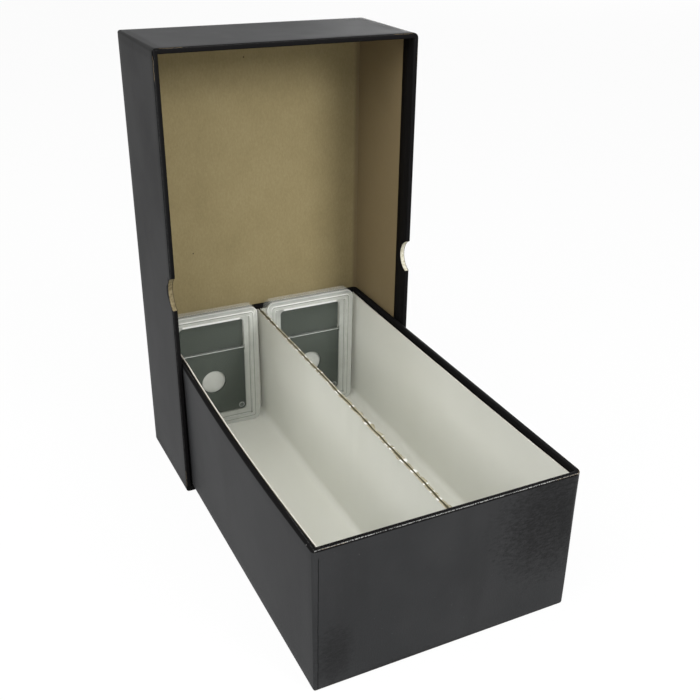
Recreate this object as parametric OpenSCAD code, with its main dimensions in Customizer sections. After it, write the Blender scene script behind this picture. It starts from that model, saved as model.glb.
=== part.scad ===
// Two-row storage box for certified coin slabs: a rigid chipboard tray with
// folded card liners and two clear slabs, and its telescoping lift-off lid
// stood on one short end over the rear of the tray.
// Millimetres. +X runs across the rows, +Y to the rear and +Z up.

/* [Tray] */
// Outside length of the tray
tray_l = 255; // [220:1:290]
// Outside height of the tray
tray_h = 85.5; // [75:0.5:90]

/* [Lid] */
// Play between the tray and the inside of the lid at each long side
lid_side_clear = 1; // [0.5:0.1:3]
// Play between the tray and the inside of the lid at each short end
lid_end_clear = 4; // [1:0.5:5]
// Outside depth of the lid
lid_h = 72; // [50:1:80]
// Gap kept between the rear of the tray and the inside of the lid
rear_clear = 0.4; // [0.4:0.1:3]
// Radius of the thumb notches
notch_r = 10.5; // [8:0.5:14]
// Distance from the notch centre out to the free edge of the wall
notch_out = 3.5; // [1:0.5:6]

/* [Board and paper] */
// Chipboard thickness
board_t = 2.4; // [1.8:0.1:2.6]
// Thickness of the embossed covering paper
wrap_t = 0.25; // [0.2:0.05:0.4]
// Thickness of the corner tapes
stay_t = 0.1; // [0.1:0.05:0.2]
// Length of each leg of a corner tape
stay_leg = 16; // [10:1:25]
// Paper turned in over the rim of the tray
tray_turn_in = 12; // [8:1:20]
// Paper turned in over the rim of the lid
lid_turn_in = 11; // [8:1:20]
// Paper turned under the closed face
turn_under = 14; // [10:1:20]
// Margin left around the sheet that covers the closed face
sheet_margin = 2.2; // [1.6:0.1:5]
// Outer radius of the upright corners
corner_r = 4; // [1.5:0.1:4.5]
// Outer radius along the closed face
edge_r = 1.5; // [1:0.1:2]

/* [Liners] */
// Thickness of the white liner card
liner_t = 0.7; // [0.5:0.1:1]
// How far the liners stop below the rim of the tray
liner_drop = 2.8; // [1:0.1:6]
// Gap between the two walls of the centre divider
divider_gap = 0.6; // [0.3:0.1:1]
// Slit beside each end flap
flap_slit = 0.4; // [0.3:0.1:1]

/* [Slabs] */
// Slab width, which sets the width of the rows
slab_w = 63.5; // [58:0.5:70]
// Play in the row at each side of a slab
row_clear = 2.6; // [2.5:0.1:4]
// Slab height
slab_l = 86; // [80:0.5:90]
// Slab thickness over the stacking ridges
slab_t = 9.5; // [9:0.1:11]
// Outer corner radius of a slab
slab_r = 5; // [3.5:0.5:7]
// Distance from the slab edge to the stacking ridge
ridge_in = 3; // [2:0.1:4]
// Width of the stacking ridge
ridge_w = 2.6; // [1.5:0.1:3]
// Height of the stacking ridge
ridge_h = 0.8; // [0.4:0.1:1]
// Depth of the window below the outer band
window_drop = 0.6; // [0.3:0.1:0.8]
// Thickness of the clear window over the inlays
window_t = 1; // [0.8:0.1:1.4]
// Size of the groove at the welded seam
seam_groove = 0.3; // [0.2:0.1:0.5]
// Distance that each slab stands off the rear liner
slab_back_gap = 0.3; // [0.2:0.1:2]
// Offset of each slab from the middle of its row
slab_shift = -2.3; // [-2.4:0.1:2.4]

/* [Inlays] */
// Distance from the side of a slab to the inlays
inlay_side = 9.75; // [9:0.25:12]
// Distance from the top of a slab to the card
inlay_top = 7.8; // [7.8:0.1:10]
// Height of the blank card above the core
card_h = 20.2; // [14:0.1:21]
// Thickness of the blank card
card_t = 1; // [0.5:0.1:2]
// Distance from the bottom of a slab to the core
core_base = 10; // [8:0.5:11]
// Rib between the core and the card
rib_t = 0.8; // [0.5:0.1:1.5]
// Running gap around each inlay
inlay_clear = 0.1; // [0.05:0.05:0.2]
// Corner radius of the inlays
inlay_r = 2.5; // [1:0.5:4]
// Diameter of the plain disc
disc_d = 16.5; // [14:0.5:30]
// Thickness of the plain disc
disc_t = 1.7; // [1:0.1:2.5]
// Height of the disc centre above the bottom of the core
disc_up = 24.5; // [20:0.5:26]
// Radius of the small moulded peg on the window
peg_r = 1.8; // [1:0.1:2.5]
// Height of the small moulded peg
peg_h = 0.3; // [0.2:0.1:0.5]
// Distance of the peg from both inlay edges
peg_in = 3.4; // [3:0.1:6]

/* [Hidden] */
$fn = 64;
over = 1;                                   // extra length of a cutting solid

wall_t = wrap_t + stay_t + board_t;         // wall measured to the bare board
lip_t = wall_t + wrap_t;                    // wall measured over the turned-in paper
base_t = 2 * wrap_t + board_t;              // closed face, sheet and turn-under included

liner_w = slab_w + 2 * row_clear + 2 * liner_t;
row_outer = liner_w + divider_gap / 2;      // outer face of a liner
tray_w = 2 * (row_outer + lip_t);
lid_w = tray_w + 2 * (lid_side_clear + lip_t);
lid_l = tray_l + 2 * (lid_end_clear + lip_t);

// The tray stands on its front edge and on the lower wall of the lid.
lid_front = tray_l + rear_clear + base_t - lid_h;
tilt = atan(lip_t / lid_front);
lid_rear = lid_front + lid_h;
tray_front = -tray_h * sin(tilt);
mid_y = (tray_front + lid_rear) / 2;        // the origin is under the middle of the whole

liner_l = tray_l - 2 * lip_t;
liner_h = tray_h - liner_drop - base_t;
liner_x = divider_gap / 2 + liner_w / 2;
row_floor = base_t + liner_t;
slab_y = tray_l - lip_t - liner_t - slab_back_gap - slab_t;

half_t = slab_t / 2;
band_t = half_t - ridge_h;                  // seam to the outer band
window_face = band_t - window_drop;         // seam to the window
core_pocket = window_face - window_t;       // seam to the inside of the window
card_pocket = card_t / 2 + inlay_clear;
window_in = ridge_in + ridge_w;
inlay_w = slab_w - 2 * inlay_side;
core_h = slab_l - inlay_top - card_h - rib_t - 2 * inlay_clear - core_base;
card_base = core_base + core_h + rib_t + 2 * inlay_clear;

// ---- shared shapes ----

module round_rect(w, l, r) {
    square([w - 2 * r, l], center = true);
    square([w, l - 2 * r], center = true);
    for (x = [-1, 1], y = [-1, 1]) translate([x * (w / 2 - r), y * (l / 2 - r)]) circle(r);
}

// Side view of a box whose lower corners are rounded
module bottom_round(w, h, r) {
    translate([-w / 2, r]) square([w, h - r]);
    translate([-w / 2 + r, 0]) square([w - 2 * r, h]);
    for (x = [-1, 1]) translate([x * (w / 2 - r), r]) circle(r);
}

// Block with rounded upright corners and a rounded lower edge
module soft_block(w, l, h, r_up, r_low) {
    intersection() {
        linear_extrude(h) round_rect(w, l, r_up);
        rotate([90, 0, 0]) linear_extrude(l + 2 * over, center = true) bottom_round(w, h, r_low);
        rotate([90, 0, 90]) linear_extrude(w + 2 * over, center = true) bottom_round(l, h, r_low);
    }
}

// ---- rigid carton, open upwards ----

module notches(w, h) {
    translate([0, 0, h + notch_out]) rotate([0, 90, 0])
        cylinder(r = notch_r, h = w + 2 * over, center = true);
}

module carton_board(w, l, h) {
    skin = wrap_t + stay_t;
    difference() {
        translate([0, 0, 2 * wrap_t])
            soft_block(w - 2 * skin, l - 2 * skin, h - 3 * wrap_t, corner_r - skin, edge_r - skin);
        translate([0, 0, base_t + h / 2]) cube([w - 2 * wall_t, l - 2 * wall_t, h], center = true);
    }
}

module carton_stays(w, l, h) {
    low = 2 * wrap_t + edge_r;
    intersection() {
        translate([0, 0, low]) linear_extrude(h - wrap_t - low) difference() {
            round_rect(w - 2 * wrap_t, l - 2 * wrap_t, corner_r - wrap_t);
            round_rect(w - 2 * (wrap_t + stay_t), l - 2 * (wrap_t + stay_t), corner_r - wrap_t - stay_t);
        }
        for (x = [-1, 1], y = [-1, 1])
            translate([x * w / 2, y * l / 2, h / 2]) cube([2 * stay_leg, 2 * stay_leg, h], center = true);
    }
}

module carton_wrap(w, l, h, turn_in) {
    difference() {
        translate([0, 0, wrap_t]) soft_block(w, l, h - wrap_t, corner_r, edge_r);
        translate([0, 0, 2 * wrap_t])
            soft_block(w - 2 * wrap_t, l - 2 * wrap_t, h - 3 * wrap_t, corner_r - wrap_t, edge_r - wrap_t);
        translate([0, 0, h]) cube([w - 2 * lip_t, l - 2 * lip_t, 4 * wrap_t], center = true);
        cube([w - 2 * turn_under, l - 2 * turn_under, 6 * wrap_t], center = true);
    }
    translate([0, 0, h - turn_in]) linear_extrude(turn_in) difference() {
        square([w - 2 * wall_t, l - 2 * wall_t], center = true);
        square([w - 2 * lip_t, l - 2 * lip_t], center = true);
    }
}

module carton_sheet(w, l) {
    linear_extrude(wrap_t) round_rect(w - 2 * sheet_margin, l - 2 * sheet_margin, corner_r);
}

// Folded card tray: floor, two long walls and two end flaps with slits beside them
module liner() {
    difference() {
        translate([-liner_w / 2, 0, 0]) cube([liner_w, liner_l, liner_h]);
        translate([-liner_w / 2 + liner_t, liner_t, liner_t])
            cube([liner_w - 2 * liner_t, liner_l - 2 * liner_t, liner_h]);
        for (x = [-1, 1]) translate([x * (liner_w / 2 - liner_t - flap_slit / 2), liner_l / 2, liner_t + liner_h / 2])
            cube([flap_slit, liner_l + 2 * over, liner_h], center = true);
    }
}

// ---- slab, seam plane at z = 0, outer face up, its lower edge at y = 0 ----

module inlay(h, t) { linear_extrude(t, center = true) round_rect(inlay_w, h, inlay_r); }

module inlay_pocket(h, depth) {
    g = 2 * inlay_clear;
    translate([0, 0, -over]) linear_extrude(depth + over) round_rect(inlay_w + g, h + g, inlay_r + inlay_clear);
}

module slab_half(peg = false) {
    difference() {
        translate([0, slab_l / 2, 0]) {
            linear_extrude(band_t)
                round_rect(slab_w - 2 * seam_groove, slab_l - 2 * seam_groove, slab_r - seam_groove);
            translate([0, 0, seam_groove]) linear_extrude(band_t - seam_groove) round_rect(slab_w, slab_l, slab_r);
            linear_extrude(half_t) round_rect(slab_w - 2 * ridge_in, slab_l - 2 * ridge_in, slab_r - ridge_in);
        }
        translate([0, slab_l / 2, window_face]) linear_extrude(half_t)
            round_rect(slab_w - 2 * window_in, slab_l - 2 * window_in, inlay_r);
        translate([0, core_base + core_h / 2, 0]) inlay_pocket(core_h, core_pocket);
        translate([0, card_base + card_h / 2, 0]) inlay_pocket(card_h, card_pocket);
    }
    if (peg) translate([inlay_w / 2 - peg_in, core_base + peg_in, window_face - window_t / 2])
        cylinder(r = peg_r, h = window_t / 2 + peg_h);
}

module core() {
    difference() {
        translate([0, core_base + core_h / 2, 0]) inlay(core_h, 2 * core_pocket - 2 * inlay_clear);
        translate([0, core_base + disc_up, 0]) cylinder(d = disc_d + 2 * inlay_clear, h = slab_t, center = true);
    }
}

module disc() { translate([0, core_base + disc_up, 0]) cylinder(d = disc_d, h = disc_t, center = true); }

module card() { translate([0, card_base + card_h / 2, 0]) inlay(card_h, card_t); }

// ---- placing ----

module in_tray() { translate([0, -mid_y, 0]) rotate([tilt, 0, 0]) children(); }

module tray_carton() { in_tray() translate([0, tray_l / 2, 0]) children(); }

module lid_carton() { translate([0, lid_rear - mid_y, lid_l / 2]) rotate([90, 0, 0]) children(); }

module in_row(side) { in_tray() translate([side * liner_x, lip_t, base_t]) children(); }

module in_slab(side) {
    in_tray() translate([side * liner_x + slab_shift, slab_y + half_t, row_floor]) rotate([90, 0, 0]) children();
}

// ---- nodes ----

module tray_board() color("#8a7d58") tray_carton() carton_board(tray_w, tray_l, tray_h);
module tray_corner_stays() color("#b59a6a") tray_carton() carton_stays(tray_w, tray_l, tray_h);
module tray_wrap() color("#3f3f41") tray_carton() carton_wrap(tray_w, tray_l, tray_h, tray_turn_in);
module tray_bottom_sheet() color("#39393b") tray_carton() carton_sheet(tray_w, tray_l);
module left_liner() color("#c6c7bf") in_row(-1) liner();
module right_liner() color("#c6c7bf") in_row(1) liner();

module lid_board() color("#8a7d58") lid_carton() difference() {
    carton_board(lid_w, lid_l, lid_h);
    notches(lid_w, lid_h);
}
module lid_corner_stays() color("#b59a6a") lid_carton() carton_stays(lid_w, lid_l, lid_h);
module lid_wrap() color("#3f3f41") lid_carton() difference() {
    carton_wrap(lid_w, lid_l, lid_h, lid_turn_in);
    notches(lid_w, lid_h);
}
module lid_top_sheet() color("#39393b") lid_carton() carton_sheet(lid_w, lid_l);

module slab_front(side) color("#dfe3df", 0.5) in_slab(side) slab_half(peg = true);
module slab_back(side) color("#dfe3df", 0.5) in_slab(side) mirror([0, 0, 1]) slab_half();

module left_slab_front() slab_front(-1);
module left_slab_back() slab_back(-1);
module left_core() color("#4b524c") in_slab(-1) core();
module left_card() color("#4b524c") in_slab(-1) card();
module left_disc() color("#c9c9c2") in_slab(-1) disc();
module right_slab_front() slab_front(1);
module right_slab_back() slab_back(1);
module right_core() color("#4b524c") in_slab(1) core();
module right_card() color("#4b524c") in_slab(1) card();
module right_disc() color("#c9c9c2") in_slab(1) disc();

tray_board();
tray_corner_stays();
tray_wrap();
tray_bottom_sheet();
left_liner();
right_liner();
lid_board();
lid_corner_stays();
lid_wrap();
lid_top_sheet();
left_slab_front();
left_slab_back();
left_core();
left_card();
left_disc();
right_slab_front();
right_slab_back();
right_core();
right_card();
right_disc();
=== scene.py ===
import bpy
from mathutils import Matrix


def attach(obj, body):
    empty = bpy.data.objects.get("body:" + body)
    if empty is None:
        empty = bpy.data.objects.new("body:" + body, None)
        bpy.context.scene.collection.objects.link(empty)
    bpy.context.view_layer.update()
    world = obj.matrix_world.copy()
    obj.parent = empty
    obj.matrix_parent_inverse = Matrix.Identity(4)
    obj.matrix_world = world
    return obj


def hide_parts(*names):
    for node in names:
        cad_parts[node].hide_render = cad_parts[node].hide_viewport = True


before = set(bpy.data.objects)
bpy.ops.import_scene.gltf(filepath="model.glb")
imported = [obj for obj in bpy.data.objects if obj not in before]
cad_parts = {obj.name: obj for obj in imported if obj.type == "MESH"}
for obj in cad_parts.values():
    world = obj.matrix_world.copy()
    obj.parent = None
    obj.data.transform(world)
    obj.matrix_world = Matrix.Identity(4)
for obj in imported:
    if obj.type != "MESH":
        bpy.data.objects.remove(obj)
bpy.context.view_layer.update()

import math

import bmesh
import bpy
from mathutils import Matrix, Vector, noise

MM = 0.001

# ---- sizes of the box, in millimetres, as in the solids ----
TRAY_L, TRAY_H = 255.0, 85.5
BOARD, PAPER, TAPE = 2.4, 0.25, 0.1
WALL = BOARD + PAPER + TAPE
LIP = WALL + PAPER
BASE = BOARD + 2 * PAPER
LINER_T, LINER_DROP, DIVIDER_GAP = 0.7, 2.8, 0.6
SLAB_W, SLAB_L, SLAB_T, SLAB_R, ROW_CLEAR = 63.5, 86.0, 9.5, 5.0, 2.6
RIDGE_IN, RIDGE_W, RIB_T, INLAY_TOP = 3.0, 2.6, 0.8, 7.8
INLAY_W, INLAY_R, INLAY_CLEAR, CORE_BASE, CARD_H, DISC_UP = 44.0, 2.5, 0.1, 10.0, 20.2, 24.5
CORE_H = SLAB_L - INLAY_TOP - CARD_H - RIB_T - 2 * INLAY_CLEAR - CORE_BASE
CARD_BASE = CORE_BASE + CORE_H + RIB_T + 2 * INLAY_CLEAR
LINER_W = SLAB_W + 2 * ROW_CLEAR + 2 * LINER_T
TRAY_W = 2 * (LINER_W + DIVIDER_GAP / 2 + LIP)
LID_W = TRAY_W + 2 * (1.0 + LIP)
LID_L = TRAY_L + 2 * (4.0 + LIP)
LID_H, REAR_CLEAR = 72.0, 0.4
NOTCH_R, NOTCH_OUT = 10.5, 3.5
CORNER_R, EDGE_R = 4.0, 1.5
TRAY_TURN, LID_TURN, UNDER = 12.0, 12.5, 14.0
# worn radii of the four upright corners, from (+X, -Y) anticlockwise: at the closed face, and at the rim
TRAY_CORNERS = ((1.4, 1.8, 1.8, 1.2), (4.0, 3.4, 3.0, 1.9))
LID_CORNERS = ((1.5, 1.5, 1.5, 1.5), (1.8, 3.0, 2.3, 1.5))

LID_FRONT = TRAY_L + REAR_CLEAR + BASE - LID_H
TILT = math.atan(LIP / LID_FRONT)
LID_REAR = LID_FRONT + LID_H
MID_Y = (LID_REAR - TRAY_H * math.sin(TILT)) / 2

ROW_X = (DIVIDER_GAP + LINER_W) / 2
SLAB_SHIFT, SLAB_STAND = -2.3, 0.3
SLAB_Y = TRAY_L - LIP - LINER_T - SLAB_STAND - SLAB_T / 2

ROW_FLOOR_Z = BASE + LINER_T                    # top of the liner's floor
PEG_R, PEG_IN = 1.75, 3.4                       # the slab's small moulded peg, from the core's edges
SOFT_EDGE, SHARP = 0.35, 50                     # bevel on clear edges, and the angle that counts as an edge

# frames of the rows, the tray and the lid, in millimetres
TO_ROW = Matrix.Translation((0, -MID_Y, 0)) @ Matrix.Rotation(TILT, 4, "X")
TO_TRAY = TO_ROW @ Matrix.Translation((0, TRAY_L / 2, 0))
TO_LID = Matrix.Translation((0, LID_REAR - MID_Y, LID_L / 2)) @ Matrix.Rotation(math.pi / 2, 4, "X")


# ---- materials; colours are linear ----

BLACK_LOW, BLACK_HIGH = (0.0230, 0.0236, 0.0246), (0.0286, 0.0290, 0.0300)
# the second colour here darkens random marks and paints the dark reflection of glossier patches
BLACK_STREAK, BLACK_MARK_AND_REFLECTION = (0.0184, 0.0185, 0.0190), (0.0065, 0.0065, 0.0068)
# painted shade: the first colour darkens the standing lid's left side towards its top, the second makes the
# rims near-black
BLACK_SIDE_SHADE, BLACK_RIM_SHADE = (0.0105, 0.0105, 0.0108), (0.0065, 0.0062, 0.0064)
# the grey is pale wear and a painted highlight along the rim's outer edge
BLACK_LAP, WEAR_AND_HIGHLIGHT_GREY = (0.0045, 0.0045, 0.0045), (0.42, 0.42, 0.41)
# glossier patches on the tray's front, darkened as a painted dark reflection, in millimetres: centre X and Z,
# half width, half height, strength
DARK_REFLECTION_SPOTS = ((58.0, 62.0, 29.0, 34.0, 0.85), (-63.0, 20.0, 9.0, 17.0, 0.55), (-20.0, -2.0, 50.0, 5.0, 0.7))
# painted shade on the lid board's right wall, the cut edges of the left notch (painted shade) and the right
# notch, and the divider's plies
RIGHT_WALL_SHADE = (0.165, 0.122, 0.066)
NOTCH_SHADE = ((0.105, 0.082, 0.040), (0.19, 0.155, 0.085))
NOTCH_PALE = ((0.40, 0.37, 0.27), (0.62, 0.60, 0.50))
PLY_TAN, PLY_TORN = ((0.24, 0.215, 0.140), (0.40, 0.37, 0.27)), (0.74, 0.73, 0.68)
# painted shadow in the clear moulding's grooves, the dark band between its pockets, and its painted
# highlights
GROOVE_SHADOW_GREY, SPLIT_DARK, GLINT_WHITE = (0.30, 0.32, 0.29), (0.070, 0.085, 0.070), (1.0, 1.0, 0.99)


class Graph:
    """Shorthand for building one material's node tree."""

    def __init__(self, name):
        self.mat = bpy.data.materials.new(name)
        self.mat.use_nodes = True
        self.tree = self.mat.node_tree
        self.tree.nodes.clear()
        self.out = self.tree.nodes.new("ShaderNodeOutputMaterial")
        self.coords = self.tree.nodes.new("ShaderNodeTexCoord").outputs["Object"]

    def node(self, kind, inputs=None, **settings):
        n = self.tree.nodes.new(kind)
        for key, value in settings.items():
            setattr(n, key, value)
        for key, value in (inputs or {}).items():
            if isinstance(value, bpy.types.NodeSocket):
                self.tree.links.new(value, n.inputs[key])
            else:
                n.inputs[key].default_value = value
        return n

    def math(self, op, a, b=0.0, clamp=False):
        return self.node("ShaderNodeMath", {0: a, 1: b}, operation=op, use_clamp=clamp).outputs[0]

    def add(self, a, b, clamp=False):
        return self.math("ADD", a, b, clamp)

    def sub(self, a, b):
        return self.math("SUBTRACT", a, b)

    def mul(self, a, b):
        return self.math("MULTIPLY", a, b)

    def most(self, a, b, clamp=False):
        return self.math("MAXIMUM", a, b, clamp)

    def length(self, a, b):
        return self.math("SQRT", self.add(self.mul(a, a), self.mul(b, b)))

    def scaled(self, x, y, z):
        return self.node("ShaderNodeMapping", {"Vector": self.coords, "Scale": (x, y, z)}).outputs[0]

    def noise(self, scale, detail=3.0, rough=0.5, vector=None, distortion=0.0):
        return self.node("ShaderNodeTexNoise", {
            "Vector": vector or self.coords, "Scale": scale,
            "Detail": detail, "Roughness": rough, "Distortion": distortion}).outputs["Fac"]

    def voronoi(self, scale, feature="F1", vector=None):
        return self.node("ShaderNodeTexVoronoi", {"Vector": vector or self.coords, "Scale": scale},
                         feature=feature).outputs["Distance"]

    def ramp(self, fac, *stops):
        n = self.node("ShaderNodeValToRGB", {"Fac": fac})
        el = n.color_ramp.elements
        while len(el) < len(stops):
            el.new(0.5)
        for e, (pos, col) in zip(el, stops):
            e.position = pos
            e.color = (*col, 1.0) if len(col) == 3 else col
        return n.outputs["Color"]

    def span(self, value, lo, hi, to_lo=0.0, to_hi=1.0):
        return self.node("ShaderNodeMapRange", {
            "Value": value, "From Min": lo, "From Max": hi,
            "To Min": to_lo, "To Max": to_hi}, interpolation_type="SMOOTHSTEP").outputs["Result"]

    def mix(self, fac, a, b):
        n = self.node("ShaderNodeMix", {"Factor": fac}, data_type="RGBA")
        for socket, value in (("A", a), ("B", b)):
            s = [i for i in n.inputs if i.name == socket and i.type == "RGBA"][0]
            if isinstance(value, bpy.types.NodeSocket):
                self.tree.links.new(value, s)
            else:
                s.default_value = (*value, 1.0)
        return [o for o in n.outputs if o.type == "RGBA"][0]

    def local(self, place):
        """The coordinates, in metres, of a frame that place (millimetres) puts in the world."""
        back = place.inverted()
        turned = self.node("ShaderNodeMapping", {"Vector": self.coords, "Location": back.translation * MM,
                                                 "Rotation": back.to_euler()}).outputs[0]
        return self.node("ShaderNodeSeparateXYZ", {0: turned}).outputs

    def outline(self, x, y, half_w, half_l, radius):
        """Distance in metres outside a rounded rectangle round the origin (negative inside)."""
        qx = self.sub(self.math("ABSOLUTE", x), (half_w - radius) * MM)
        qy = self.sub(self.math("ABSOLUTE", y), (half_l - radius) * MM)
        px, py = self.most(qx, 0.0), self.most(qy, 0.0)
        far = self.length(px, py)
        near = self.math("MINIMUM", self.most(qx, qy), 0.0)
        return self.sub(self.add(far, near), radius * MM)

    def line(self, value, at, half, soft):
        """1 on a line where value equals at, in millimetres, with soft sides."""
        off = self.math("ABSOLUTE", self.sub(value, at * MM))
        return self.span(off, (half + soft) * MM, half * MM)

    def bump(self, height, strength, distance, normal=None):
        ins = {"Height": height, "Strength": strength, "Distance": distance}
        if normal is not None:
            ins["Normal"] = normal
        return self.node("ShaderNodeBump", ins).outputs["Normal"]

    def principled(self, **ins):
        names = {k.replace("_", " "): v for k, v in ins.items()}
        n = self.node("ShaderNodeBsdfPrincipled", names)
        self.tree.links.new(n.outputs[0], self.out.inputs["Surface"])
        return self.mat


def leatherette(name, place, w, l, h, tray=False):
    """Charcoal embossed paper: fine pebbled grain, uneven gloss with a painted dark reflection, painted shade
    on the rims and up the lid's side, a painted highlight along the rim, and pale wear.
    """
    g = Graph(name)
    here = g.local(place)
    x, y, z = here["X"], here["Y"], here["Z"]
    inside = g.math("MINIMUM", g.sub(w / 2 * MM, g.math("ABSOLUTE", x)),
                    g.sub(l / 2 * MM, g.math("ABSOLUTE", y)))
    rim = g.most(g.span(z, (h - 1.4) * MM, (h - 0.7) * MM), g.span(inside, 0.7 * MM, 1.2 * MM))
    corner = g.span(g.add(g.math("ABSOLUTE", x), g.math("ABSOLUTE", y)),
                    ((w + l) / 2 - 7.0) * MM, ((w + l) / 2 - 4.5) * MM)
    warp = g.noise(700.0, 2.0, 0.5)
    cell = g.voronoi(1250.0, "SMOOTH_F1")
    crease = g.noise(640.0, 3.0, 0.6, g.scaled(0.6, 0.6, 1.3), 0.4)
    grain = g.add(g.mul(cell, 0.6), g.mul(warp, 0.5))
    patch = g.noise(16.0, 3.0, 0.55)
    streak = g.noise(60.0, 3.0, 0.6, g.scaled(1.0, 1.0, 0.12))
    dull = g.span(patch, 0.36, 0.66)
    tone = g.mix(dull, BLACK_LOW, BLACK_HIGH)
    tone = g.mix(g.mul(g.span(streak, 0.45, 0.75), 0.35), tone, BLACK_STREAK)
    marks_and_reflection = g.mul(g.span(patch, 0.62, 0.74), 0.25)
    front = g.span(y, (1.0 - l / 2) * MM, (0.6 - l / 2) * MM)
    if tray:
        # glossier places on the front face, darker in colour as a painted dark reflection, and the lap of the
        # paper at one corner
        speckle = g.mul(g.sub(crease, 0.5), 3.6)
        for cx, cz, rx, rz, strength in DARK_REFLECTION_SPOTS:
            dx = g.math("DIVIDE", g.sub(x, cx * MM), rx * MM)
            dz = g.math("DIVIDE", g.sub(z, cz * MM), rz * MM)
            r2 = g.add(g.mul(dx, dx), g.mul(dz, dz))
            spot = g.mul(g.span(g.add(r2, speckle), 1.9, -0.5, 0.0, strength), front)
            marks_and_reflection = g.most(marks_and_reflection, spot)
        jog = g.mul(g.sub(g.noise(90.0, 2.0, 0.5, g.scaled(0.0, 0.0, 1.0)), 0.5), 0.9 * MM)
        lap = g.mul(g.line(g.add(x, jog), 2.15 - w / 2, 0.13, 0.16), front)
        lap = g.mul(lap, g.span(z, (h - 3.5) * MM, (h - 6.0) * MM))
    else:
        lap = g.mul(g.line(inside, 0.35, 0.18, 0.25), corner)
    # darker random marks, and the painted dark reflection of the glossy patches
    tone = g.mix(marks_and_reflection, tone, BLACK_MARK_AND_REFLECTION)
    # painted shade: rims and turn-ins near-black
    tone = g.mix(rim, tone, BLACK_RIM_SHADE)
    # painted highlight: a broken pale line along the rim's outer edge
    outer = g.mul(g.line(inside, 0.42, 0.10, 0.16), g.span(z, (h - 1.4) * MM, (h - 0.9) * MM))
    rim_highlight = g.mul(g.span(g.noise(1500.0, 3.0, 0.6), 0.45, 0.55), outer)
    if tray:
        rim_highlight = g.mul(rim_highlight, g.most(front, 0.12))
        rim_highlight = g.mul(rim_highlight, g.span(g.noise(55.0, 2.0, 0.5), 0.36, 0.54, 0.55, 1.0))
    else:
        # on the standing lid the painted rim highlight is almost gone, and painted shade darkens its left
        # side towards its upper end
        rim_highlight = g.mul(rim_highlight, 0.06)
        side_shade = g.mul(g.span(x, (1.6 - w / 2) * MM, (0.8 - w / 2) * MM),
                     g.span(y, -75.0 * MM, 70.0 * MM, 0.06, 0.88))
        tone = g.mix(side_shade, tone, BLACK_SIDE_SHADE)
    chip = g.mul(g.mul(g.span(g.noise(900.0, 3.0, 0.6), 0.66, 0.70), rim), corner)
    chip = g.mul(chip, g.span(z, (h - 4.0) * MM, (h - 3.0) * MM))
    specks = g.mul(g.span(g.noise(1300.0, 2.0, 0.5), 0.77, 0.80), 0.25)
    # pale wear from chips and specks, with the painted rim highlight
    wear_and_highlight = g.most(g.most(g.mul(rim_highlight, 0.8), chip), specks, clamp=True)
    tone = g.mix(wear_and_highlight, tone, WEAR_AND_HIGHLIGHT_GREY)
    tone = g.mix(lap, tone, BLACK_LAP)
    gloss = g.sub(g.add(0.50, g.mul(dull, 0.06)), g.mul(marks_and_reflection, 0.22))
    gloss = g.add(gloss, g.mul(wear_and_highlight, 0.3), clamp=True)
    normal = g.bump(grain, 0.45, 0.00012, g.bump(patch, 0.25, 0.0012))
    normal = g.node("ShaderNodeBump", {"Height": crease, "Strength": g.add(0.10, g.mul(marks_and_reflection, 0.6)),
                                       "Distance": 0.00025, "Normal": normal}).outputs[0]
    sheen = g.sub(0.06, g.mul(rim, 0.045))
    return g.principled(Base_Color=tone, Roughness=gloss, Specular_IOR_Level=sheen, Normal=normal)


def chipboard(name):
    """Raw tan board: felted fibre, soft mottling and a few dark and pale specks."""
    g = Graph(name)
    fibre = g.noise(1100.0, 5.0, 0.65, g.scaled(1, 1, 0.45))
    blotch = g.noise(38.0, 4.0, 0.6)
    tone = g.ramp(g.add(g.mul(fibre, 0.55), g.mul(blotch, 0.45)),
                  (0.30, (0.225, 0.180, 0.088)), (0.52, (0.262, 0.213, 0.108)), (0.75, (0.305, 0.252, 0.135)))
    speck = g.voronoi(95.0)
    dark = g.mul(g.span(speck, 0.050, 0.030), g.span(g.noise(60.0), 0.55, 0.62))
    pale = g.mul(g.span(g.voronoi(70.0, vector=g.scaled(1.3, 1.1, 0.9)), 0.040, 0.022),
                 g.span(g.noise(45.0), 0.58, 0.64))
    tone = g.mix(dark, tone, (0.045, 0.032, 0.020))
    tone = g.mix(pale, tone, (0.62, 0.56, 0.42))
    # painted shade darkens and reddens the lid's right wall and darkens the left notch's cut edge; the right
    # notch's cut edge is pale
    here = g.local(TO_LID)
    x, y, z = here["X"], here["Y"], here["Z"]
    right_wall_shade = g.mul(g.span(x, (LID_W / 2 - 7.0) * MM, (LID_W / 2 - 4.0) * MM), 0.75)
    tone = g.mix(right_wall_shade, tone, RIGHT_WALL_SHADE)
    dz = g.sub(z, (LID_H + NOTCH_OUT) * MM)
    reach = g.length(y, dz)
    cut = g.span(reach, (NOTCH_R + 0.5) * MM, (NOTCH_R + 0.2) * MM)
    rough = g.span(g.noise(700.0, 3.0, 0.6), 0.35, 0.65)
    # painted shade on the left notch's cut edge
    dull = g.mul(cut, g.span(x, 1.0 * MM, -1.0 * MM))
    pale = g.mul(cut, g.span(x, -1.0 * MM, 1.0 * MM))
    tone = g.mix(dull, tone, g.mix(rough, *NOTCH_SHADE))
    tone = g.mix(pale, tone, g.mix(rough, *NOTCH_PALE))
    normal = g.bump(fibre, 0.35, 0.00012, g.bump(blotch, 0.15, 0.0008))
    return g.principled(Base_Color=tone, Roughness=0.82, Specular_IOR_Level=0.25, Normal=normal)


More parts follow.
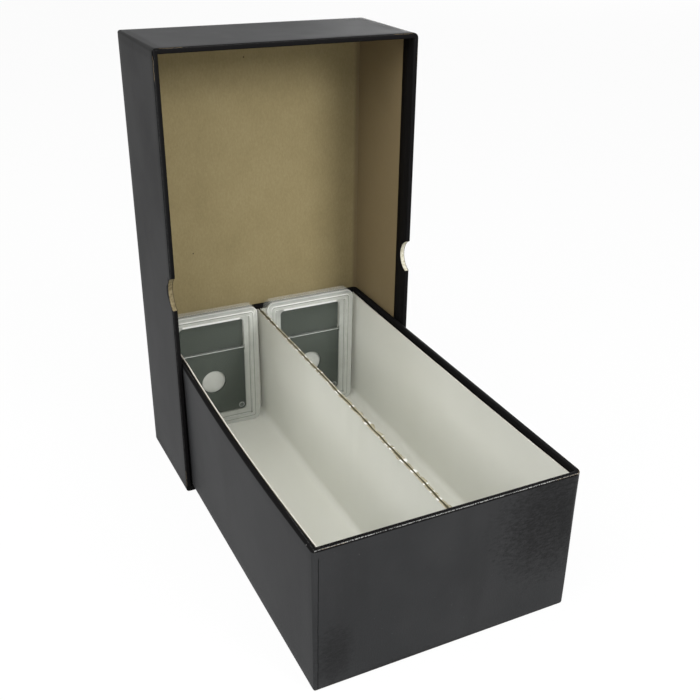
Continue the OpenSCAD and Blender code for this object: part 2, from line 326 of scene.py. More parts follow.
def liner_card(name):
    """Smooth off-white card."""
    g = Graph(name)
    fine = g.noise(1600.0, 3.0, 0.6)
    cloud = g.noise(14.0, 3.0, 0.5)
    tone = g.ramp(g.add(g.mul(fine, 0.25), g.mul(cloud, 0.75)),
                  (0.30, (0.655, 0.660, 0.600)), (0.70, (0.715, 0.718, 0.665)))
    speck = g.mul(g.span(g.voronoi(60.0), 0.035, 0.02), g.span(g.noise(40.0), 0.6, 0.66))
    tone = g.mix(g.mul(speck, 0.5), tone, (0.25, 0.23, 0.19))
    normal = g.bump(fine, 0.12, 0.00008, g.bump(cloud, 0.2, 0.0015))
    return g.principled(Base_Color=tone, Roughness=0.6, Specular_IOR_Level=0.35, Normal=normal)


def liner_back(name):
    """The card's unbleached outer side."""
    g = Graph(name)
    fine = g.noise(900.0, 4.0, 0.65)
    tone = g.ramp(fine, (0.3, (0.150, 0.135, 0.085)), (0.7, (0.225, 0.205, 0.130)))
    return g.principled(Base_Color=tone, Roughness=0.8, Specular_IOR_Level=0.25,
                        Normal=g.bump(fine, 0.3, 0.0001))


def cut_card(name):
    """Cut edge of the card: fibrous, tan along the divider with pale torn stretches."""
    g = Graph(name)
    fine = g.noise(1400.0, 4.0, 0.7)
    slow = g.noise(70.0, 3.0, 0.6)
    mixed = g.add(g.mul(fine, 0.6), g.mul(slow, 0.4))
    tone = g.ramp(mixed, (0.32, (0.42, 0.39, 0.34)), (0.50, (0.56, 0.54, 0.48)), (0.7, (0.68, 0.67, 0.62)))
    here = g.local(TO_ROW)
    middle = g.span(g.math("ABSOLUTE", here["X"]), 8.0 * MM, 6.0 * MM)
    torn = g.span(g.noise(170.0, 3.0, 0.6, g.scaled(0.0, 1.0, 0.0)), 0.50, 0.60)
    ply = g.mix(torn, g.ramp(mixed, (0.35, PLY_TAN[0]), (0.65, PLY_TAN[1])), PLY_TORN)
    tone = g.mix(middle, tone, ply)
    return g.principled(Base_Color=tone, Roughness=0.85, Specular_IOR_Level=0.2,
                        Normal=g.bump(fine, 0.6, 0.0002))


def tape(name):
    """Gummed brown paper tape."""
    g = Graph(name)
    fibre = g.noise(900.0, 4.0, 0.6, g.scaled(1, 1, 0.2))
    tone = g.ramp(fibre, (0.3, (0.42, 0.30, 0.16)), (0.7, (0.52, 0.39, 0.22)))
    return g.principled(Base_Color=tone, Roughness=0.75, Normal=g.bump(fibre, 0.3, 0.0001))


def inlay(name, base, light):
    """Dense dark foam or card behind the clear window."""
    g = Graph(name)
    fine = g.noise(1300.0, 4.0, 0.65)
    cloud = g.noise(30.0, 3.0, 0.5)
    tone = g.ramp(g.add(g.mul(fine, 0.4), g.mul(cloud, 0.6)),
                  (0.3, base), (0.72, light))
    return g.principled(Base_Color=tone, Roughness=0.7, Specular_IOR_Level=0.3,
                        Normal=g.bump(fine, 0.3, 0.0001))


def blank_disc(name):
    """Pale matt disc; a darker ring at its edge is painted shade in place of a rolled rim."""
    g = Graph(name)
    here = g.local(TO_ROW)
    x = g.sub(g.math("ABSOLUTE", g.sub(here["X"], SLAB_SHIFT * MM)), ROW_X * MM)
    z = g.sub(here["Z"], (ROW_FLOOR_Z + CORE_BASE + DISC_UP) * MM)
    r = g.length(x, z)
    fine = g.noise(1500.0, 3.0, 0.5)
    cloud = g.noise(110.0, 2.0, 0.5)
    tone = g.ramp(cloud, (0.3, (0.45, 0.46, 0.43)), (0.7, (0.55, 0.56, 0.53)))
    # painted shade: a darker ring round the disc's edge
    tone = g.mix(g.mul(g.span(r, 6.6 * MM, 7.9 * MM), 0.55), tone, (0.30, 0.31, 0.29))
    return g.principled(Base_Color=tone, Roughness=0.42, Normal=g.bump(fine, 0.1, 0.00005))


def clear_plastic(name):
    """Clear moulding: nearly invisible over the window, milky in the thick border, bright along its steps."""
    g = Graph(name)
    here = g.local(TO_ROW)
    x = g.sub(g.math("ABSOLUTE", g.sub(here["X"], SLAB_SHIFT * MM)), ROW_X * MM)
    z = g.sub(here["Z"], (ROW_FLOOR_Z + SLAB_L / 2) * MM)
    edge = g.node("ShaderNodeLayerWeight", {"Blend": 0.30}).outputs["Facing"]
    haze = g.noise(240.0, 3.0, 0.5)
    rub = g.noise(45.0, 3.0, 0.6)
    out = g.outline(x, z, SLAB_W / 2, SLAB_L / 2, SLAB_R)
    core_z = g.sub(here["Z"], (ROW_FLOOR_Z + CORE_BASE + CORE_H / 2) * MM)
    card_z = g.sub(here["Z"], (ROW_FLOOR_Z + CARD_BASE + CARD_H / 2) * MM)
    to_core = g.outline(x, core_z, INLAY_W / 2, CORE_H / 2, INLAY_R)
    to_card = g.outline(x, card_z, INLAY_W / 2, CARD_H / 2, INLAY_R)
    pocket = g.outline(x, g.sub(here["Z"], (ROW_FLOOR_Z + (CORE_BASE + CARD_BASE + CARD_H) / 2) * MM),
                       INLAY_W / 2, (CARD_BASE + CARD_H - CORE_BASE) / 2, INLAY_R)
    band = g.span(pocket, 0.0, 0.35 * MM)
    deep = g.sub(here["Y"], (SLAB_Y - SLAB_T / 2) * MM)
    skin = g.most(g.span(deep, 2.6 * MM, 1.9 * MM),
                  g.span(z, (SLAB_L / 2 - 0.5) * MM, (SLAB_L / 2 - 0.2) * MM, 0.0, 0.35))
    top_side = g.span(z, (SLAB_L / 2 - 9.5) * MM, (SLAB_L / 2 - 5.0) * MM, 0.34, 0.80)
    steps = g.most(g.line(out, -RIDGE_IN, 0.08, 0.20), g.line(out, -RIDGE_IN - RIDGE_W, 0.08, 0.20))
    steps = g.mul(g.most(steps, g.line(out, -0.25, 0.10, 0.25)), top_side)
    wall = g.mul(g.line(pocket, 0.25, 0.08, 0.25), 0.30)
    lit = g.mul(g.line(to_card, 0.80, 0.45, 0.45),
                g.mul(g.span(card_z, (CARD_H / 2 - 0.3) * MM, (CARD_H / 2 + 0.1) * MM),
                      g.span(g.math("ABSOLUTE", x), (INLAY_W / 2 - 0.6) * MM, (INLAY_W / 2 - 3.2) * MM)))
    within = g.span(g.math("ABSOLUTE", x), (INLAY_W / 2 - 0.1) * MM, (INLAY_W / 2 - 0.6) * MM)
    rib_z = g.sub(here["Z"], (ROW_FLOOR_Z + CARD_BASE - RIB_T / 2) * MM)
    rib = g.mul(g.most(g.line(rib_z, -0.15, 0.06, 0.16),
                       g.mul(g.line(rib_z, 0.85, 0.05, 0.14), 0.30)), within)
    rib = g.mul(rib, g.span(rub, 0.30, 0.55, 0.55, 1.0))
    peg_x = g.sub(g.sub(here["X"], SLAB_SHIFT * MM), g.mul(g.math("SIGN", here["X"]), ROW_X * MM))
    peg_x = g.sub(peg_x, (INLAY_W / 2 - PEG_IN) * MM)
    peg_z = g.sub(here["Z"], (ROW_FLOOR_Z + CORE_BASE + PEG_IN) * MM)
    peg_r = g.length(peg_x, peg_z)
    peg = g.most(g.mul(g.line(peg_r, PEG_R, 0.08, 0.22), 0.50), g.span(peg_r, 1.8 * MM, 1.5 * MM, 0.0, 0.14))
    glint = g.most(g.most(steps, wall), g.most(g.most(lit, rib), peg), clamp=True)
    glint = g.mul(glint, skin)
    # painted shadow in the grooves beside the moulding's steps
    groove_shadow = g.mul(g.most(g.line(out, -RIDGE_IN - 0.55, 0.12, 0.25),
                          g.line(out, -RIDGE_IN - RIDGE_W - 0.6, 0.12, 0.3)), 0.80)
    tone = g.ramp(haze, (0.3, (0.70, 0.725, 0.675)), (0.7, (0.77, 0.795, 0.75)))
    split = g.mul(g.span(g.math("MINIMUM", to_core, to_card), -0.10 * MM, 0.05 * MM), g.sub(1.0, band))
    tone = g.mix(groove_shadow, tone, GROOVE_SHADOW_GREY)
    tone = g.mix(split, tone, SPLIT_DARK)
    tone = g.mix(glint, tone, GLINT_WHITE)
    cover = g.add(0.05, g.mul(skin, g.span(rub, 0.3, 0.7, 0.40, 0.46)))
    body = g.add(g.mul(band, cover), 0.02)
    body = g.most(body, g.mul(split, 0.85))
    body = g.add(body, g.mul(g.math("POWER", edge, 2.5), 0.40))
    alpha = g.most(body, g.mul(glint, 0.92), clamp=True)
    return g.principled(Base_Color=tone, Roughness=0.14, IOR=1.49, Alpha=alpha, Specular_IOR_Level=0.4,
                        Normal=g.bump(haze, 0.05, 0.0002))


M = {
    "tray_cover": leatherette("tray_cover_paper", TO_TRAY, TRAY_W, TRAY_L, TRAY_H, tray=True),
    "lid_cover": leatherette("lid_cover_paper", TO_LID, LID_W, LID_L, LID_H),
    "board": chipboard("raw_chipboard"),
    "liner": liner_card("liner_card"),
    "back": liner_back("liner_card_back"),
    "edge": cut_card("liner_card_edge"),
    "tape": tape("corner_tape"),
    "core": inlay("core_foam", (0.033, 0.043, 0.034), (0.044, 0.055, 0.045)),
    "card": inlay("blank_card", (0.034, 0.044, 0.035), (0.047, 0.058, 0.047)),
    "disc": blank_disc("plain_disc"),
    "clear": clear_plastic("clear_plastic"),
}


def dress(obj, mat):
    """Give the object this one material."""
    obj.data.materials.clear()
    obj.data.materials.append(mat)


def to_object(name, verts, faces, place, smooth=True):
    """A mesh object from points in millimetres, in the frame that place puts in the world."""
    mesh = bpy.data.meshes.new(name)
    mesh.from_pydata([place @ Vector(v) * MM for v in verts], [], faces)
    mesh.validate()
    obj = bpy.data.objects.new(name, mesh)
    bpy.context.scene.collection.objects.link(obj)
    if smooth:
        mesh.polygons.foreach_set("use_smooth", [True] * len(mesh.polygons))
    return obj


def turn_faces_out(obj):
    bm = bmesh.new()
    bm.from_mesh(obj.data)
    bmesh.ops.recalc_face_normals(bm, faces=bm.faces)
    bm.to_mesh(obj.data)
    bm.free()


# ---- shapes shared by the paper and the board, in millimetres ----

RIM_OUT_R, RIM_IN_R = 0.9, 0.7                  # roundings of the paper over the rim
BOW_ENDS, BOW_MIDDLE, BOW_LENGTH = 0.55, 2.25, 196.0
SHELL_STEPS, WAVER, WAVER_FADE, TOUCH = 14, 0.22, 12.0, 0.01


def arc(cx, cz, r, start, end, n=4):
    """Points on an arc that runs from start to end, in degrees."""
    out = []
    for i in range(n + 1):
        a = math.radians(start + (end - start) * i / n)
        out.append((cx + r * math.cos(a), cz + r * math.sin(a)))
    return out


def ring_points(w, l, inset, corners, up, step=4.0, arc_n=5):
    """Points round a rounded rectangle, set in by inset, anticlockwise from the (+X, -Y) corner.

    up runs from 0 at the closed face to 1 at the rim, and takes the corner radii from one set to the other.
    """
    hw, hl = w / 2 - inset, l / 2 - inset
    up = up * up * (3 - 2 * up)
    radii = [max(a + (b - a) * up - inset, 0.25) for a, b in zip(*corners)]
    nx = max(2, round((w - 2 * CORNER_R) / step))
    ny = max(2, round((l - 2 * CORNER_R) / step))
    pts = []
    sides = (((1, -1), 0, ny, (0, 1)), ((1, 1), 90, nx, (-1, 0)),
             ((-1, 1), 180, ny, (0, -1)), ((-1, -1), 270, nx, (1, 0)))
    for k, ((sx, sy), turn, count, along) in enumerate(sides):
        r = radii[k]                            # of the corner arc that leads into this side
        cx, cy = sx * (hw - r), sy * (hl - r)
        for i in range(arc_n + 1):
            a = math.radians(turn - 90 + 90 * i / arc_n)
            pts.append((cx + r * math.cos(a), cy + r * math.sin(a)))
        length = 2 * (hl if along[0] == 0 else hw) - r - radii[(k + 1) % 4]
        x0, y0 = pts[-1]
        for i in range(1, count):
            pts.append((x0 + along[0] * length * i / count, y0 + along[1] * length * i / count))
    return pts


def bulge(y, up):
    """How far the tray's left wall bows out, y from its front and up (0 to 1) the wall."""
    along = math.sin(math.pi * min(max((y + 6.0) / BOW_LENGTH, 0.0), 1.0))
    return (BOW_ENDS + BOW_MIDDLE * along ** 0.9) * max(0.0, up) ** 1.3


def with_bulge(x, y, z):
    """A point of the tray, in the tray's own frame, carried along with its left wall."""
    near = min(max(-x / (TRAY_W / 2 - LIP), 0.0), 1.0)
    return x - bulge(y + TRAY_L / 2, z / TRAY_H) * near ** 3, y, z


def with_waver(x, y, z, w, l, h, seed):
    """Slow unevenness of a hand-covered wall, always inwards, fading out at rims and corners."""
    n = noise.noise(Vector((x * 0.018 + seed, y * 0.018, z * 0.03)))
    along = w / 2 - abs(x) if abs(y) > l / 2 - TOUCH else l / 2 - abs(y)
    depth = WAVER * (0.5 + 0.5 * n) * min(1.0, (h - z) / WAVER_FADE, z / WAVER_FADE)
    depth *= max(0.0, min(along, WAVER_FADE) / WAVER_FADE)
    if abs(abs(y) - l / 2) < TOUCH:
        y -= math.copysign(depth, y)
    elif abs(abs(x) - w / 2) < TOUCH:
        x -= math.copysign(depth, x)
    return x, y


def ring_faces(rings, count):
    """Quads between rings of count points each, one ring after another."""
    return [(j * count + i, j * count + k, (j + 1) * count + k, (j + 1) * count + i)
            for j in range(rings - 1) for i, k in zip(range(count), [*range(1, count), 0])]


def paper_shell(name, w, l, h, turn_in, place, seed, corners, carry=None):
    """Covering paper of one half of the box: under the closed face, up, over the rim and in."""
    low, high = PAPER + EDGE_R, h - RIM_OUT_R
    profile = [(UNDER, PAPER), (EDGE_R, PAPER)]                     # (distance in from the outline, height)
    profile += [(EDGE_R + EDGE_R * math.cos(math.radians(a)), low + EDGE_R * math.sin(math.radians(a)))
                for a in (-112, -135, -157, -180)]
    profile += [(0.0, low + (high - low) * i / SHELL_STEPS) for i in range(1, SHELL_STEPS)]
    profile += arc(RIM_OUT_R, high, RIM_OUT_R, 180, 90)
    profile += arc(LIP - RIM_IN_R, h - RIM_IN_R, RIM_IN_R, 90, 0)
    profile += [(LIP, h - turn_in * 0.5), (LIP, h - turn_in)]
    verts = []
    for d, z in profile:
        for x, y in ring_points(w, l, d, corners, z / h):
            if d < TOUCH:
                x, y = with_waver(x, y, z, w, l, h, seed)
            verts.append(carry(x, y, z) if carry else (x, y, z))
    obj = to_object(name, verts, ring_faces(len(profile), len(verts) // len(profile)), place)
    thick = obj.modifiers.new("thickness", "SOLIDIFY")
    thick.thickness = (PAPER - 0.02) * MM
    thick.offset = -1.0
    return obj


def apply_modifiers(obj):
    """Bake the object's modifiers into its mesh."""
    deps = bpy.context.evaluated_depsgraph_get()
    mesh = bpy.data.meshes.new_from_object(obj.evaluated_get(deps))
    obj.modifiers.clear()
    obj.data = mesh


# ---- covering paper ----

tray_cover = paper_shell("tray_cover", TRAY_W, TRAY_L, TRAY_H, TRAY_TURN, TO_TRAY, 3.0, TRAY_CORNERS,
                         with_bulge)
dress(tray_cover, M["tray_cover"])
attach(tray_cover, "tray")
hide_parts("tray_wrap")

lid_cover = paper_shell("lid_cover", LID_W, LID_L, LID_H, LID_TURN, TO_LID, 11.0, LID_CORNERS)
apply_modifiers(lid_cover)
cutter_mesh = bpy.data.meshes.new("notch_cut")
bm = bmesh.new()
bmesh.ops.create_cone(bm, cap_ends=True, segments=72, radius1=NOTCH_R * MM, radius2=NOTCH_R * MM,
                      depth=(LID_W + 6) * MM, matrix=Matrix.Rotation(math.pi / 2, 4, "Y"))
place = TO_LID @ Matrix.Translation((0, 0, LID_H + NOTCH_OUT))
place.translation *= MM
bmesh.ops.transform(bm, matrix=place, verts=bm.verts)
bm.to_mesh(cutter_mesh)
bm.free()
cutter = bpy.data.objects.new("notch_cut", cutter_mesh)
bpy.context.scene.collection.objects.link(cutter)
cut = lid_cover.modifiers.new("notch", "BOOLEAN")
cut.operation = "DIFFERENCE"
cut.solver = "EXACT"
cut.object = cutter
apply_modifiers(lid_cover)
bpy.data.objects.remove(cutter)
dress(lid_cover, M["lid_cover"])
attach(lid_cover, "lid")
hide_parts("lid_wrap")


# ---- the tray's board, bowed with its paper ----

BOARD_STEPS = 10


def board_shell(name):
    """Floor and walls of the tray's board, a hair clear of the paper all round."""
    outside, inside = PAPER + TAPE + 0.2, WALL - 0.05
    low, top, floor_z = 2 * PAPER + 0.02, TRAY_H - PAPER - 0.03, BASE - 0.02
    rings = [(outside, low + (top - low) * k / BOARD_STEPS) for k in range(BOARD_STEPS + 1)]
    rings += [(inside, top + (floor_z - top) * k / BOARD_STEPS) for k in range(BOARD_STEPS + 1)]
    verts = []
    for d, z in rings:
        verts += [with_bulge(x, y, z) for x, y in ring_points(TRAY_W, TRAY_L, d, TRAY_CORNERS, z / TRAY_H)]
    count = len(verts) // len(rings)
    faces = ring_faces(len(rings), count)
    faces += [tuple(reversed(range(count))), tuple(range(len(verts) - count, len(verts)))]
    obj = to_object(name, verts, faces, TO_TRAY, smooth=False)
    turn_faces_out(obj)
    return obj


tray_box = board_shell("tray_box")
dress(tray_box, M["board"])
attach(tray_box, "tray")
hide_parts("tray_board")


# ---- folded card liners ----

LINER_L, LINER_TALL, FOLD_R, SLIT = TRAY_L - 2 * LIP, TRAY_H - BASE - LINER_DROP, 4.35, 0.4
WALL_UPS = (0.0, 0.12, 0.26, 0.42, 0.58, 0.72, 0.84, 0.93, 0.972, 0.99, 1.0)
FLAP_UPS = (0.0, 0.01, 0.025, 0.05, 0.2, 0.4, 0.6, 0.8, 0.92, 0.98, 1.0)
LENGTH_STEPS, FLOOR_STEPS, FLAP_STEPS = 210, 10, 24
EDGE_LOOK = 2                                   # material slot of the card's cut edges
LEFT_RISE = 2.55                                # how much higher the left liner's outer wall stands
# torn tufts on the divider's edge, for each liner: (y, width, height) in millimetres
TUFTS = {1: ((4, 3.0, 0.9), (28, 5.5, 0.75), (36, 3.0, 1.0), (48, 4.5, 1.25), (61, 3.0, 0.5), (74, 6.0, 1.15),
             (84, 4.5, 1.25), (98, 4.0, 1.1), (112, 6.0, 0.5), (150, 4.0, 0.35)),
         -1: ((50, 3.0, 0.7), (87, 3.5, 0.6), (120, 4.0, 0.3))}


def wobble(a, b, seed):
    """Smooth noise, from about -1 to 1."""
    return noise.noise(Vector((a, b, seed)))


def wall_lean(side, wall, y, up):
    """Sideways bow of a liner's long wall; wall is -1 or 1 for its -X or +X wall, up runs from 0 to 1."""
    ends = math.sin(math.pi * min(max(y / LINER_L, 0.0), 1.0))
    if wall == -side:
        lean = -1.25 if side < 0 else -0.70
        near = 0.5 + 0.5 * math.tanh((125.0 - y) / 25.0)
        wave = 0.26 * wobble(y * 0.045, 0.0, 5.0 + side)
        wave += (0.10 + 0.42 * near) * wobble(y * 0.13, 0.0, 9.0 + side)
        return (lean + wave) * up ** 1.4
    if side < 0:
        return 0.25 * up - bulge(y + LIP, (up * LINER_TALL + BASE) / TRAY_H)
    return -wall * (0.35 + 1.15 * ends ** 0.5 + 0.18 * wobble(y * 0.03, up, 20.0 + side)) * up


def wall_drop(side, wall, y):
    """How far the wall's upper edge lies below its full height."""
    drop = 0.12 + 0.12 * wobble(y * 0.05, 1.0, 30.0 + side * wall)
    if side < 0 and wall < 0:
        return drop - LEFT_RISE
    if wall == -side:
        rough = 0.5 + 0.5 * math.tanh((118.0 - y) / 18.0)
        drop += rough * 0.22 * (1.0 + wobble(y * 0.55, 2.0, 40.0 + side))
    return max(0.0, drop)


def fray(side, wall, y):
    """Extra thickness of torn fibres on the divider's upper edge."""
    if wall != -side:
        return 0.10 * max(0.0, wobble(y * 0.35, 6.0, 25.0 + side))
    total = sum(size * max(0.0, 1.0 - ((y - at) / (wide / 1.5)) ** 2) for at, wide, size in TUFTS[side])
    ragged = 0.5 + 0.5 * math.tanh((115.0 - y) / 20.0)
    torn = total * (0.8 + 0.3 * wobble(y * 0.9, 3.0, 50.0 + side))
    return torn + ragged * 0.16 * (1.0 + wobble(y * 0.7, 4.0, 60.0))


def add_sheet(bucket, inner, outer, rims):
    """A closed sheet between two grids of points; rims tells the material of its four narrow sides."""
    verts, faces, mats = bucket
    rows, cols = len(inner), len(inner[0])
    base = len(verts)
    for grid in (inner, outer):
        for row in grid:
            verts.extend(row)
    at = lambda k, j, i: base + k * rows * cols + j * cols + i
    for j in range(rows - 1):
        for i in range(cols - 1):
            faces.append((at(0, j, i), at(0, j, i + 1), at(0, j + 1, i + 1), at(0, j + 1, i)))
            faces.append((at(1, j, i), at(1, j + 1, i), at(1, j + 1, i + 1), at(1, j, i + 1)))
            mats.extend((0, 1))
    for i in range(cols - 1):
        for j in (0, rows - 1):
            faces.append((at(0, j, i), at(0, j, i + 1), at(1, j, i + 1), at(1, j, i)))
            mats.append(rims)
    for j in range(rows - 1):
        for i in (0, cols - 1):
            faces.append((at(0, j, i), at(0, j + 1, i), at(1, j + 1, i), at(1, j, i)))
            mats.append(rims)


def liner_section():
    """Middle line of the folded card from rim to rim, as (x, z, normal towards the row, wall)."""
    half, fold_z = LINER_W / 2 - LINER_T / 2, LINER_T / 2 + FOLD_R
    tall = LINER_TALL - fold_z

    def fold(centre_x, angles):
        turns = [(math.cos(math.radians(a)), math.sin(math.radians(a))) for a in angles]
        return [(centre_x + FOLD_R * c, fold_z + FOLD_R * d, (-c, -d), 0) for c, d in turns]

    mid = [(-half, fold_z + tall * u, (1, 0), -1) for u in reversed(WALL_UPS)]
    mid += fold(-half + FOLD_R, (198, 216, 234, 252, 270))
    mid += [(-half + FOLD_R + (2 * half - 2 * FOLD_R) * k / FLOOR_STEPS, LINER_T / 2, (0, 1), 0)
            for k in range(1, FLOOR_STEPS)]
    mid += fold(half - FOLD_R, (270, 288, 306, 324, 342))
    return mid + [(half, fold_z + tall * u, (-1, 0), 1) for u in WALL_UPS]


def liner_flap(side, end):
    """Inner and outer points of the front (0) or rear (1) end flap."""
    flap_in, flap_out = [], []
    for u in FLAP_UPS:
        z = LINER_T + 0.02 + (LINER_TALL - LINER_T - 0.02) * u
        reach = LINER_W / 2 - LINER_T - SLIT
        depth = FOLD_R - LINER_T / 2
        if z - LINER_T < depth:
            reach -= depth - math.sqrt(max(0.0, depth ** 2 - (depth - (z - LINER_T)) ** 2))
        up = max(0.0, (z - FOLD_R) / (LINER_TALL - FOLD_R))
        y0 = 0.0 if end == 0 else LINER_L
        lo = -reach + wall_lean(side, -1, y0, up)
        hi = reach + wall_lean(side, 1, y0, up)
        a, b = [], []
        for k in range(FLAP_STEPS + 1):
            x = lo + (hi - lo) * k / FLAP_STEPS
            bow = 0.16 * (1.0 + wobble(x * 0.05, up * 1.5, 80.0 + side + end)) * math.sin(math.pi * up)
            dz = -max(0.0, 0.10 + 0.10 * wobble(x * 0.06, 5.0, 90.0 + side)) * max(0.0, (up - 0.8) / 0.2)
            y_in, y_out = (LINER_T + bow, bow) if end == 0 else (LINER_L - LINER_T - bow, LINER_L - bow)
            a.append((x, y_in, z + dz))
            b.append((x, y_out, z + dz))
        flap_in.append(a)
        flap_out.append(b)
    return flap_in, flap_out


def liner_piece(name, side):
    """One row's card tray; side is -1 for the left row and 1 for the right."""
    mid = liner_section()
    inner, outer = [], []
    for j in range(LENGTH_STEPS + 1):
        y = LINER_L * j / LENGTH_STEPS
        row_in, row_out = [], []
        for x, z, (nx, nz), wall in mid:
            up = max(0.0, (z - FOLD_R) / (LINER_TALL - FOLD_R)) if wall else 0.0
            dx = wall_lean(side, wall, y, up) if wall else 0.0
            dz = -wall_drop(side, wall, y) * max(0.0, (up - 0.8) / 0.2) if wall else 0.0
            more = fray(side, wall, y) * max(0.0, (up - 0.962) / 0.038) ** 0.7 if wall else 0.0
            t_in = LINER_T / 2 + more
            row_in.append((x + dx + nx * t_in, y, z + dz + nz * t_in))
            row_out.append((x + dx - nx * LINER_T / 2, y, z + dz - nz * LINER_T / 2))
        inner.append(row_in)
        outer.append(row_out)
    bucket = ([], [], [])
    add_sheet(bucket, inner, outer, EDGE_LOOK)
    for end in (0, 1):
        add_sheet(bucket, *liner_flap(side, end), EDGE_LOOK)
    verts, faces, mats = bucket
    obj = to_object(name, verts, faces, TO_ROW @ Matrix.Translation((side * ROW_X, LIP, BASE)))
    for look in ("liner", "back", "edge"):
        obj.data.materials.append(M[look])
    obj.data.polygons.foreach_set("material_index", mats)
    turn_faces_out(obj)
    obj.data.set_sharp_from_angle(angle=math.radians(SHARP))
    return obj


for side, word in ((-1, "left"), (1, "right")):
    piece = liner_piece(f"{word}_liner_card", side)
    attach(piece, "tray")
    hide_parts(f"{word}_liner")


# ---- carried-over solids ----

LOOKS = {"lid_board": "board", "tray_corner_stays": "tape", "lid_corner_stays": "tape",
         "tray_bottom_sheet": "tray_cover", "lid_top_sheet": "lid_cover"}
for side in ("left", "right"):
    LOOKS.update({f"{side}_slab_front": "clear", f"{side}_slab_back": "clear", f"{side}_core": "core",
                  f"{side}_card": "card", f"{side}_disc": "disc"})
for node, look in LOOKS.items():
    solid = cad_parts[node]
    dress(solid, M[look])
    if look == "clear":
        soft = solid.modifiers.new("soft_edges", "BEVEL")
        soft.width = SOFT_EDGE * MM
        soft.segments = 2
        soft.limit_method = "ANGLE"
        soft.angle_limit = math.radians(SHARP)
        soft.harden_normals = False


# ---- stage, light and camera, in metres ----

FLOOR_HALF, FLOOR_Z, FLOOR_WHITE = 4.0, -0.0002, 0.955
WORLD_FILL, WORLD_SEEN = 0.13, 1.0


def area(name, at, to, size, power):
    """A white rectangular lamp at a place in metres, turned towards another."""
    light = bpy.data.lights.new(name, "AREA")
    light.shape = "RECTANGLE"
    light.size, light.size_y = size
    light.energy = power
    obj = bpy.data.objects.new(name, light)
    obj.location = at
    obj.rotation_euler = (Vector(to) - Vector(at)).to_track_quat("-Z", "Y").to_euler()
    bpy.context.scene.collection.objects.link(obj)


def pale_floor():
    """Pale ground under the lamps; seen directly or mirrored it is nearly white and keeps a faint shadow."""
    g = Graph("pale_floor")
    grain = g.noise(40.0, 2.0, 0.5)
    tone = g.ramp(grain, (0.3, (0.86, 0.86, 0.86)), (0.7, (0.88, 0.88, 0.88)))
    ground = g.node("ShaderNodeBsdfDiffuse", {"Color": tone}).outputs[0]
    glow = g.node("ShaderNodeEmission", {"Color": (1, 1, 1, 1), "Strength": 1.0}).outputs[0]
    path = g.node("ShaderNodeLightPath").outputs
    seen = g.most(path["Is Camera Ray"], g.most(path["Is Glossy Ray"], path["Is Transmission Ray"]))
    fac = g.mul(seen, FLOOR_WHITE)
    mixed = g.node("ShaderNodeMixShader", {0: fac, 1: ground, 2: glow}).outputs[0]
    g.tree.links.new(mixed, g.out.inputs["Surface"])
    return g.mat


floor_mesh = bpy.data.meshes.new("floor")
floor_mesh.from_pydata([(x * FLOOR_HALF, y * FLOOR_HALF, 0) for x, y in ((-1, -1), (1, -1), (1, 1), (-1, 1))],
                       [], [(0, 1, 2, 3)])
floor = bpy.data.objects.new("floor", floor_mesh)
bpy.context.scene.collection.objects.link(floor)
floor.location.z = FLOOR_Z
floor.data.materials.append(pale_floor())

area("key", (0.55, -1.31, 0.85), (0, 0.1, 0.16), (0.50, 0.50), 15.6)
area("top", (-0.10, -0.30, 1.45), (0, -0.03, 0.0), (1.0, 1.0), 4.8)
area("left", (-1.05, -0.10, 1.00), (0, 0.0, 0.05), (1.3, 1.3), 9.6)
area("left_front", (-0.90, -0.60, 0.95), (0, 0.05, 0.05), (1.0, 1.0), 8.6)
area("front", (-0.05, -0.75, 1.05), (0, 0.05, 0.05), (0.9, 0.9), 3.6)
area("behind", (2.40, 3.30, 0.30), (0.0, 0.1, 0.12), (1.6, 0.5), 56.0)

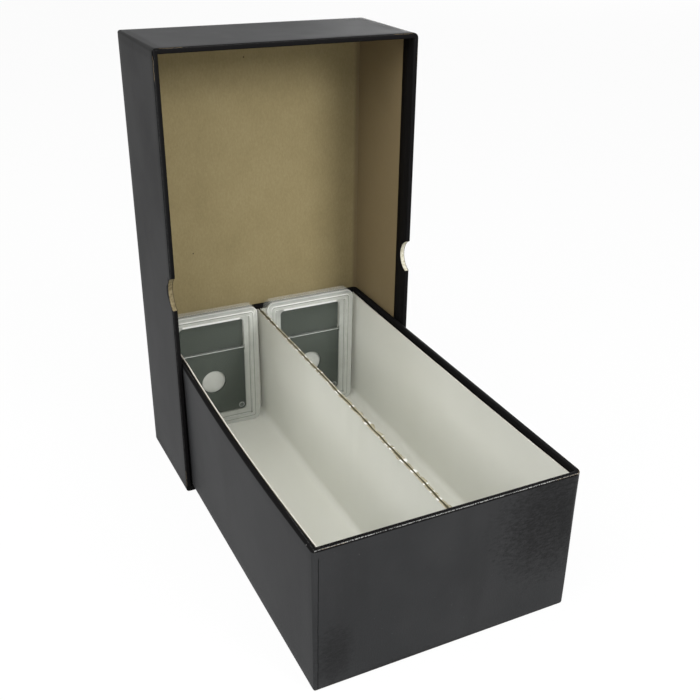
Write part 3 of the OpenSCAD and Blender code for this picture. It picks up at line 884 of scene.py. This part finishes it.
world = bpy.data.worlds.new("studio")
bpy.context.scene.world = world
world.use_nodes = True
nodes, links = world.node_tree.nodes, world.node_tree.links
nodes.clear()
path = nodes.new("ShaderNodeLightPath").outputs
mirrored, seen = nodes.new("ShaderNodeMath"), nodes.new("ShaderNodeMath")
mirrored.operation = seen.operation = "MAXIMUM"
links.new(path["Is Glossy Ray"], mirrored.inputs[0])
links.new(path["Is Transmission Ray"], mirrored.inputs[1])
links.new(path["Is Camera Ray"], seen.inputs[0])
links.new(mirrored.outputs[0], seen.inputs[1])
blend = nodes.new("ShaderNodeMixShader")
links.new(seen.outputs[0], blend.inputs[0])
for socket, strength in ((1, WORLD_FILL), (2, WORLD_SEEN)):
    sky = nodes.new("ShaderNodeBackground")
    sky.inputs["Color"].default_value = (1, 1, 1, 1)
    sky.inputs["Strength"].default_value = strength
    links.new(sky.outputs[0], blend.inputs[socket])
links.new(blend.outputs[0], nodes.new("ShaderNodeOutputWorld").inputs["Surface"])

# camera, from a fit to the photograph's edges
AZ, EL, ROLL = math.radians(26.666), math.radians(27.293), math.radians(0.8542)
FOCAL_PX, CENTRE_PX = 950.29, (353.253, 366.592)
EYE = Vector((-0.207690, -0.304289 - MID_Y * MM, 0.347390))
IMAGE = 700.0
ahead = Vector((math.sin(AZ) * math.cos(EL), math.cos(AZ) * math.cos(EL), -math.sin(EL)))
side_v = Vector((math.cos(AZ), -math.sin(AZ), 0.0))
up_v = side_v.cross(ahead)
right = side_v * math.cos(ROLL) + up_v * math.sin(ROLL)
up = up_v * math.cos(ROLL) - side_v * math.sin(ROLL)
cam = bpy.data.cameras.new("camera")
cam.sensor_fit = "HORIZONTAL"
cam.sensor_width = 36.0
cam.lens = FOCAL_PX / IMAGE * cam.sensor_width
cam.shift_x = (IMAGE / 2 - CENTRE_PX[0]) / IMAGE
cam.shift_y = (CENTRE_PX[1] - IMAGE / 2) / IMAGE
cam.clip_start = 0.01
camera = bpy.data.objects.new("camera", cam)
camera.matrix_world = Matrix((
    (right.x, up.x, -ahead.x, EYE.x),
    (right.y, up.y, -ahead.y, EYE.y),
    (right.z, up.z, -ahead.z, EYE.z),
    (0, 0, 0, 1)))
bpy.context.scene.collection.objects.link(camera)
bpy.context.scene.camera = camera
bpy.context.scene.view_settings.view_transform = "Standard"
